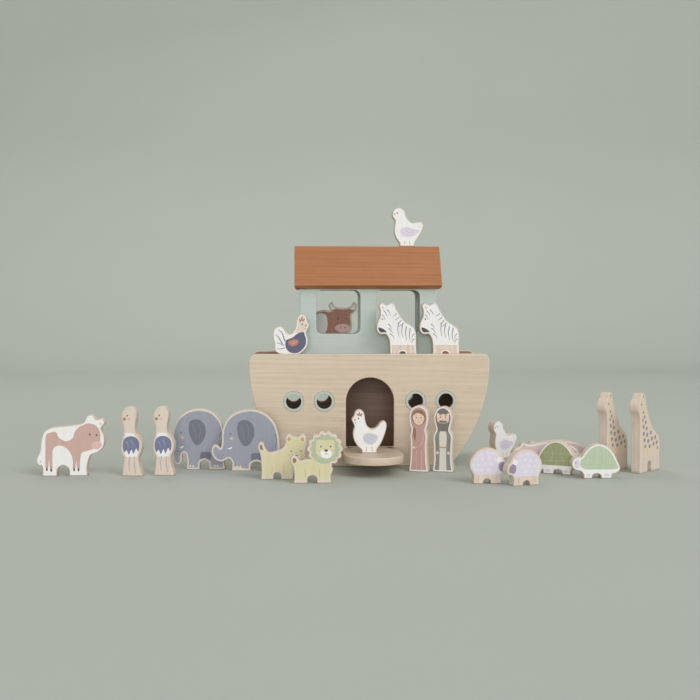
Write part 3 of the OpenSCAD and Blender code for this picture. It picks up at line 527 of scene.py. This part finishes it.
HIPPO = [
    ("hippo_pink", EVERYWHERE),
    ("lilac", blob([-122, 62], [-112, 72], [-98, 68], [-92, 54], [-98, 40], [-112, 38], [-121, 48])),
    *ovals("plum", 2, 3, (-115, 60), (-105, 60)),
    ("plum", stroke(1.6, 1.6, [-116, 46], [-106, 44], [-98, 48])),
    *eye(-92, 74, 2.2),
    ("plum", oval(-81, 90, 4, 4.5)),
    ("lilac", blob([-40, 40], [0, 34], [50, 36], [60, 48], [10, 52], [-34, 52])),
    ("plum", stroke(2, 1.2, [106, 66], [112, 56], [108, 46])),
    *ovals("lilac", 3, 4, (-82, 5), (-70, 5), (92, 5), (104, 5)),
]


def spot(x, y, w, h):
    """An uneven round spot about (x, y), with its half width and half height."""
    return blob([x - w, y], [x - 0.3 * w, y + h], [x + w, y + 0.5 * h], [x + 0.7 * w, y - 0.7 * h],
                [x - 0.5 * w, y - h])


GIRAFFE = [
    ("tan", band(20, TOP)),
    *[("spot", spot(*place)) for place in (
        (-18, 76, 1.6, 2), (-15, 70, 2, 2.2), (-19, 66, 1.8, 2.2), (-11, 63, 2.2, 2.4), (-17, 58, 2.4, 2.6),
        (-9, 55, 2.6, 2.6), (-16, 49, 2.6, 2.6), (-7, 47, 2.8, 2.8), (3, 49, 2.6, 2.6), (-14, 41, 2.6, 2.6),
        (-4, 39, 2.8, 2.6), (6, 41, 2.8, 2.8), (15, 42, 2.6, 2.6), (-12, 33, 2.4, 2.4), (0, 32, 2.6, 2.4),
        (11, 34, 2.6, 2.6), (20, 35, 2.4, 2.6), (22, 28, 1.8, 2))],
    ("cream", blob([-31, 79], [-29, 85], [-25, 86], [-23, 80], [-26, 76])),
    ("ochre", oval(-18, 96, 1.6, 2)),
    *eye(-23, 86, 1.1),
    ("hair", stroke(1.8, 1, [-11, 92], [-8, 82], [0, 69], [9, 57])),
]
NOAH = [
    ("coat", EVERYWHERE),
    ("tunic", blob([-5, -10], [-5, 30], [-5.5, 58], [0, 64], [5.5, 58], [5, 30], [5, -10])),
    ("beard", band(62, TOP)),
    ("skin", blob(
        [-9.5, 84], [-9, 90], [-4, 87.5], [0, 88.5], [4, 87.5], [9, 90], [9.5, 84], [8.5, 77], [4, 74.5],
        [-4, 74.5], [-8.5, 77])),
    ("beard", blob([-7, 76.5], [-3, 78.8], [0, 77.8], [3, 78.8], [7, 76.5], [3, 75], [-3, 75])),
    *ovals("dark", 0.9, 1.1, (-4, 83.5), (4, 83.5)),
    *strokes("beard", 0.8, 0.5, ([-5.8, 86.3], [-4, 87], [-2.4, 86.4]), ([5.8, 86.3], [4, 87], [2.4, 86.4])),
    ("blush", oval(0, 81, 1.1, 1.5)),
    *ovals("blush", 1.5, 1.1, (-6.6, 80.4), (6.6, 80.4)),
    ("rust", stroke(0.8, 0.8, [-1.8, 74], [0, 73.4], [1.8, 74])),
    *strokes("beard", 0.8, 0.8, ([-10, 52], [-9, 36], [-8, 31]), ([10, 52], [9, 36], [8, 31])),
    *ovals("skin", 1.9, 2.3, (-8.5, 29), (8.5, 29)),
    ("ochre", stroke(2.2, 2.2, [-5.2, 38], [0, 37], [5.2, 38])),
]
WIFE = [
    ("robe", EVERYWHERE),
    ("hair", oval(0, 82, 11, 12)),
    ("skin", blob(
        [-8.5, 84], [-4, 91], [3, 89], [8, 84], [8.5, 79], [5, 72.5], [0, 70.8], [-5, 72.5], [-8.5, 79])),
    ("hair", blob([-9, 84], [-6, 91], [2, 93], [9, 87], [9.5, 82], [5, 86.5], [-3, 88.5])),
    *ovals("dark", 0.9, 1.1, (-3.7, 81.5), (3.7, 81.5)),
    *strokes("hair", 0.6, 0.4, ([-5.4, 84.3], [-3.8, 85], [-2.3, 84.4]),
             ([5.4, 84.3], [3.8, 85], [2.3, 84.4])),
    ("blush", oval(0, 79, 0.9, 1.3)),
    *ovals("blush", 1.6, 1.2, (-5.6, 77.6), (5.6, 77.6)),
    ("rust", stroke(0.8, 0.8, [-1.7, 75.2], [0, 74.5], [1.7, 75.2])),
    ("hair", blob([-8, 66], [-4.5, 64], [-4, 54], [-5.5, 46], [-7.5, 52], [-9, 60])),
    ("pink", stroke(0.7, 0.7, [9, 56], [5, 44], [-1, 38], [-7, 36])),
    ("skin", oval(-7.2, 36.4, 1.9, 1.7)),
    *strokes("pink", 0.7, 0.7, ([-3, 32], [-4, 18], [-3, 5]), ([4, 32], [5, 18], [4, 5])),
]

# Each figure: its print, the colour of its border, the way it faces, the middle of its outline in the
# print's measure, and the record's slot for its finish.
LEFT, RIGHT = 1, -1
FIGURES = {
    "cow": (COW, "white", RIGHT, 0.5, "print_white"),
    "bull": (BULL, "cream", RIGHT, -3, "print_brown"),
    "ostrich_1": (OSTRICH, "bare", LEFT, 1, "print_cream"),
    "ostrich_2": (OSTRICH, "bare", LEFT, 1, "print_cream"),
    "elephant_1": (ELEPHANT_DOWN, "cream", LEFT, 0, "print_grey"),
    "elephant_2": (ELEPHANT_CURL, "cream", LEFT, -4.5, "print_grey"),
    "lioness": (LIONESS, "cream", RIGHT, 0.5, "print_yellow"),
    "lion": (LION, "cream", RIGHT, 2, "print_yellow"),
    "hen": (HEN, "white", LEFT, 0, "print_white"),
    "rooster": (ROOSTER, "white", RIGHT, -0.5, "print_white"),
    "zebra_1": (ZEBRA, "white", LEFT, -1.5, "print_white"),
    "zebra_2": (ZEBRA, "white", LEFT, -1.5, "print_white"),
    "dove_1": (DOVE, "white", LEFT, 2, "print_white"),
    "dove_2": (DOVE, "white", LEFT, 2, "print_white"),
    "sheep_1": (SHEEP, "bare", RIGHT, -2, "print_lilac"),
    "sheep_2": (SHEEP, "bare", LEFT, -2, "print_lilac"),
    # tortoise_1's shell is printed in the darker olive as painted shade: it is the same shell as
    # tortoise_2's, darker where it turns from the light.
    "tortoise_1": (tortoise("olive"), "white", RIGHT, -0.5, "print_green"),
    "tortoise_2": (tortoise("shell"), "white", LEFT, -0.5, "print_green"),
    "hippo_1": (HIPPO, "white", LEFT, -3, "print_pink"),
    "hippo_2": (HIPPO, "white", LEFT, -3, "print_pink"),
    "giraffe_1": (GIRAFFE, "bare", LEFT, -1, "print_cream"),
    "giraffe_2": (GIRAFFE, "bare", LEFT, -1, "print_cream"),
    "noah": (NOAH, "white", LEFT, 0, "print_grey"),
    "wife": (WIFE, "white", LEFT, 0, "print_pink"),
}


# Boards of the figures, worked out in millimetres

# Millimetres in a metre, and the way up.
MILLIMETRES = 1000.0
UP = np.array([0.0, 0.0, 1.0])

# Radius of the rounded rim, the steps round it, and the width of the border round the print.
RIM, RIM_STEPS, BORDER = 1.0, 5, 2.2

# The shortest edge that an outline keeps, how near two points of the print are one, and an area of nothing.
LEAST_EDGE, SAME_POINT, NO_AREA = 0.6, 1e-4, 1e-9

# The kind of triangulation that leaves out what lies in no line, and the places of the lines in it: the face
# and the field first, then the shapes.
INSIDE_ONLY, FACE, FIELD, SHAPES = 1, 0, 1, 2

# The least that a mitre divides by, which keeps sharp corners short, the share of a border's width that its
# inner line keeps everywhere, and the least cosine between a face and the front that it belongs to.
MITRE, KEPT_WIDTH, SQUARE_ON = 0.6, 0.97, 0.99


def loop_of(triangles):
    """The closed boundary of a patch of triangles, in order: the edges that no second triangle uses,
    chained by doubling the stretch that is already in order."""
    edges = triangles[:, [0, 1, 1, 2, 2, 0]].reshape(-1, 2)
    size = triangles.max() + 1
    once = edges[~np.isin(edges @ (size, 1), edges @ (1, size))]
    following = np.zeros(size, int)
    following[once[:, 0]] = once[:, 1]
    loop = once[:1, 0]
    while len(loop) < len(once):
        loop = np.concatenate([loop, following[loop]])
        following = following[following]
    return loop[:len(once)]


def outward(loop):
    """Mitred outward vectors of a loop that runs anticlockwise: a step of one along each moves both
    neighbouring edges out by one."""
    edge = np.roll(loop, -1, 0) - loop
    edge /= np.linalg.norm(edge, axis=1, keepdims=True)
    normal = np.stack([edge[:, 1], -edge[:, 0]], 1)
    mean = normal + np.roll(normal, 1, 0)
    return mean / np.maximum(0.5 * (mean * mean).sum(1, keepdims=True), MITRE)


def inset(loop, width):
    """The loop moved inwards; points that come too near to another part of the loop are left out."""
    moved = loop - outward(loop) * width
    start, span = loop[None], (np.roll(loop, -1, 0) - loop)[None]
    t = ((moved[:, None] - start) * span).sum(2) / (span * span).sum(2)
    near = start + np.clip(t, 0, 1)[..., None] * span
    gap = np.linalg.norm(moved[:, None] - near, axis=2).min(1)
    return moved[gap > KEPT_WIDTH * width]


def anticlockwise(loop):
    """The loop, run anticlockwise from its highest point."""
    x, y = loop.T
    loop = loop if (x * np.roll(y, -1) - y * np.roll(x, -1)).sum() > 0 else loop[::-1]
    return np.roll(loop, -loop[:, 1].argmax(), 0)


def without_short_edges(loop, least):
    """The loop without edges shorter than least: of an edge's two ends, the one with the lesser turn goes."""
    edge = np.roll(loop, -1, 0) - loop
    length = np.linalg.norm(edge, axis=1)
    unit = edge / length[:, None]
    turn = 1 - (unit * np.roll(unit, 1, 0)).sum(1)
    short = length < least
    first = turn < np.roll(turn, -1)
    return loop[~((short & first) | np.roll(short & ~first, 1))]


def sawn(name):
    """The front face of a figure's solid: its outline along a level axis and upwards, that axis, the way
    that the face looks, its place along that way, and the board's thickness. The way is the one that the
    areas of the solid's triangles share most."""
    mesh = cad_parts[name].data
    points = np.zeros(len(mesh.vertices) * 3, np.float32)
    mesh.vertices.foreach_get("co", points)
    points, same = np.unique(np.round(points.reshape(-1, 3) * MILLIMETRES, 3), axis=0, return_inverse=True)
    mesh.calc_loop_triangles()
    corners = np.zeros(len(mesh.loop_triangles) * 3, np.int32)
    mesh.loop_triangles.foreach_get("vertices", corners)
    corners = same.reshape(-1)[corners].reshape(-1, 3)
    a, b, c = points[corners].transpose(1, 0, 2)
    cross = np.cross(b - a, c - a)
    area = np.linalg.norm(cross, axis=1)
    front = np.linalg.eigh(cross.T @ (cross / np.maximum(area, NO_AREA)[:, None]))[1][:, 2]
    front *= -np.sign(front[1])
    along = np.cross(UP, front)
    outline = points[loop_of(corners[(cross @ front > SQUARE_ON * area) & (area > NO_AREA)])]
    level = (outline @ front).max()
    depth = level - (points @ front).min()
    outline = without_short_edges(np.stack([outline @ along, outline @ UP], 1), LEAST_EDGE)
    return anticlockwise(outline), along, front, level, depth


def cut(face, field, shapes):
    """A face cut up along its print: triangles between the lines of the face, of the field within its
    border, and of all shapes. Gives their points, the triangles, and the number of the last shape that
    covers each of them, or -1 on the border and where there is no shape."""
    loops = [face, field, *shapes]
    starts = np.cumsum([0] + [len(loop) for loop in loops])
    lines = [list(range(a, b)) for a, b in zip(starts[:-1], starts[1:])]
    points, _, triangles, _, _, covers = delaunay_2d_cdt(
        np.concatenate(loops).tolist(), [], lines, INSIDE_ONLY, SAME_POINT)
    kept = [(triangle, max(cover) - SHAPES if FIELD in cover else -1)
            for triangle, cover in zip(triangles, covers) if FACE in cover]
    used, triangles = np.unique([triangle for triangle, _ in kept], return_inverse=True)
    return np.array(points)[used], triangles.reshape(-1, 3), np.array([shape for _, shape in kept])


def put(name, data):
    """A new object at the origin, in the scene."""
    made = bpy.data.objects.new(name, data)
    bpy.context.scene.collection.objects.link(made)
    return made


def printed_board(name, art, border, facing, middle):
    """A cut-out board on a figure's solid. Each face is the triangulated outline, with every shape of
    the print in its own ink; a quarter round runs from each face's edge to the sides."""
    outline, along, front, level, depth = sawn(name)
    low, high = outline.min(0), outline.max(0)
    scale = (high[1] - low[1]) / 100
    centre = np.array([(low[0] + high[0]) / 2, low[1]])
    shapes = [anticlockwise((shape - (middle, 0)) * (facing * scale, scale) + centre) for _, shape in art]
    flat, triangles, shape = cut(outline - outward(outline) * RIM, inset(outline, BORDER), shapes)
    inks = list(dict.fromkeys([border, *[ink for ink, _ in art], "bare"]))
    printed = np.array([*[inks.index(ink) for ink, _ in art], inks.index(border)])[shape]

    edge = loop_of(triangles)
    out = outward(flat[edge])
    turn = np.linspace(0, np.pi / 2, RIM_STEPS + 1)[1:]
    tilt = np.concatenate([turn, np.pi - turn[::-1]])
    reach = RIM * np.concatenate([np.sin(turn), np.sin(turn[::-1])])
    drop = np.concatenate([RIM * (1 - np.cos(turn)), depth - RIM * (1 - np.cos(turn[::-1]))])
    rows = (flat[edge] + out * reach[:, None, None]).reshape(-1, 2)
    count = len(flat)
    plane = np.concatenate([flat, flat, rows])
    back = np.concatenate([np.zeros(count), np.full(count, depth), np.repeat(drop, len(edge))])
    vertices = plane[:, :1] * along + plane[:, 1:] * UP + (level - back)[:, None] * front
    unit = out / np.linalg.norm(out, axis=1, keepdims=True)
    lean = unit[:, :1] * along + unit[:, 1:] * UP
    rounding = np.sin(tilt)[:, None, None] * lean + np.cos(tilt)[:, None, None] * front
    facings = np.repeat([front, -front], count, 0)
    normals = np.concatenate([facings, rounding.reshape(-1, 3)])
    ring = 2 * count + np.arange(len(rows)).reshape(-1, len(edge))
    ring = np.concatenate([edge[None], ring, count + edge[None]])
    ahead = np.roll(ring, -1, 1)
    sides = np.stack([ring[:-1], ring[1:], ahead[1:], ahead[:-1]], 2).reshape(-1, 4)
    faces = [*triangles.tolist(), *(triangles[:, ::-1] + count).tolist(), *sides.tolist()]

    made = bpy.data.meshes.new("printed_" + name)
    made.from_pydata((vertices / MILLIMETRES).tolist(), [], faces)
    for ink in inks:
        made.materials.append(INKS[ink])
    sawn_wood = np.full(len(sides), inks.index("bare"))
    finishes = np.concatenate([printed, printed, sawn_wood]).astype(np.int32)
    made.polygons.foreach_set("material_index", finishes)
    made.shade_smooth()
    made.normals_split_custom_set_from_vertices(normals.tolist())
    piece = put("printed_" + name, made)
    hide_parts(name)
    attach(piece, name)


for name, (art, border, facing, middle, slot) in FIGURES.items():
    printed_board(name, art, border, facing, middle)


# Floor, light and camera, in metres and watts

# Middle of the floor that is seen, the distances from it at which the floor gives way to an even
# backdrop, and the backdrop's colour.
STAGE, NEAR, FAR = (0.0, 0.9, 0.0), 2.7, 3.9
BACKDROP = linear("#ACB0A8")

# The floor: how far it runs to the front and the sides, where it starts to turn up behind the toy, the radius
# and the steps of that turn, the wall's height, and a hair's breadth that it lies below the toy.
REACH, TURN_START, TURN_RADIUS, TURN_STEPS, WALL_TOP, HAIR = 14.0, 1.9, 0.9, 23, 6.0, 0.0002

# Each lamp's place, side and power, and the point that all of them are turned towards.
LAMPS = {
    "key": ((4.0, -5.2, 5.2), 4.4, 256),
    "fill": ((-0.7, -6.2, 0.9), 2.6, 142),
    "back": ((-0.4, 1.7, 2.2), 1.6, 14),
}
TOY_MIDDLE = (0, 0, 0.1)

# The colour and strength of the room's even light.
ROOM, ROOM_STRENGTH = linear("#F4F5F2"), 0.6

# The camera's place, the point that it is turned towards, and its focal length in millimetres.
CAMERA_PLACE, CAMERA_AIM, LENS = (-0.096, -1.360, 0.195), (-0.025, -0.060, 0.145), 54


def showing(tree):
    """1 for a ray that shows the background: from the camera, or by way of a shiny or clear surface."""
    path = add(tree, "LightPath", {})
    bounced = add(tree, "Math", {0: path["Is Glossy Ray"], 1: path["Is Transmission Ray"]},
                  operation="MAXIMUM")["Value"]
    return add(tree, "Math", {0: path["Is Camera Ray"], 1: bounced}, operation="MAXIMUM")["Value"]


def card():
    """Matt sage card, with a faint cloudiness 400 mm wide. Far off, the camera sees it as an even
    backdrop."""
    material, tree = blank("card_matt_sage")
    place = add(tree, "TexCoord", {})["Object"]
    cloud = add(tree, "TexNoise", {"Vector": place, "Scale": 1 / 0.4, "Detail": 3.0})["Fac"]
    colour = add(tree, "Mix", {FACTOR: cloud, FIRST: linear("#B6BAB2"), SECOND: linear("#B2B6AE")},
                 data_type="RGBA")[RESULT]
    paper = add(tree, "BsdfPrincipled", {"Base Color": colour, "Roughness": 0.85})["BSDF"]
    away = add(tree, "VectorMath", {0: place, 1: STAGE}, operation="DISTANCE")["Value"]
    far = add(tree, "MapRange", {"Value": away, "From Min": NEAR, "From Max": FAR},
              interpolation_type="SMOOTHSTEP")["Result"]
    fade = add(tree, "Math", {0: far, 1: showing(tree)}, operation="MULTIPLY")["Value"]
    even = add(tree, "Emission", {"Color": BACKDROP, "Strength": 1.0})["Emission"]
    add(tree, "OutputMaterial", {"Surface": add(tree, "MixShader", {0: fade, 1: paper, 2: even})["Shader"]})
    return material


def sweep():
    """A floor that turns up into a wall: a profile of floor, quarter round and wall, drawn out in X."""
    t = np.linspace(0, np.pi / 2, TURN_STEPS + 1)
    y = np.concatenate([[-REACH], TURN_START + TURN_RADIUS * np.sin(t), [TURN_START + TURN_RADIUS]])
    z = np.concatenate([[0.0], TURN_RADIUS * (1 - np.cos(t)), [WALL_TOP]]) - HAIR
    x = np.array([-REACH, REACH])
    grid = np.stack([np.tile(x, (len(y), 1)), np.tile(y[:, None], (1, 2)), np.tile(z[:, None], (1, 2))], 2)
    first = 2 * np.arange(len(y) - 1)
    faces = np.stack([first, first + 1, first + 3, first + 2], 1)
    mesh = bpy.data.meshes.new("sweep")
    mesh.from_pydata(grid.reshape(-1, 3).tolist(), [], faces.tolist())
    mesh.shade_smooth()
    mesh.materials.append(card())
    put("sweep", mesh)


def point(thing, place, aim):
    """Puts a lamp or the camera at a place and turns it towards a point."""
    thing.location = place
    thing.rotation_euler = (Vector(aim) - Vector(place)).to_track_quat("-Z", "Y").to_euler()


sweep()
for name, (place, side, power) in LAMPS.items():
    lamp = bpy.data.lights.new(name, "AREA")
    lamp.size = side
    lamp.energy = power
    point(put(name, lamp), place, TOY_MIDDLE)

# The room's even light, which the camera sees as the colour of the backdrop.
world = bpy.data.worlds.new("studio")
world.use_nodes = True
tree = world.node_tree
tree.nodes.clear()
seen = showing(tree)
sky = add(tree, "Mix", {FACTOR: seen, FIRST: ROOM, SECOND: BACKDROP}, data_type="RGBA")[RESULT]
strength = add(tree, "MapRange", {"Value": seen, "To Min": ROOM_STRENGTH, "To Max": 1.0})["Result"]
air = add(tree, "Background", {"Color": sky, "Strength": strength})["Background"]
add(tree, "OutputWorld", {"Surface": air})
bpy.context.scene.world = world
bpy.context.scene.view_settings.view_transform = "Standard"

camera = put("camera", bpy.data.cameras.new("camera"))
camera.data.lens = LENS
point(camera, CAMERA_PLACE, CAMERA_AIM)
bpy.context.scene.camera = camera
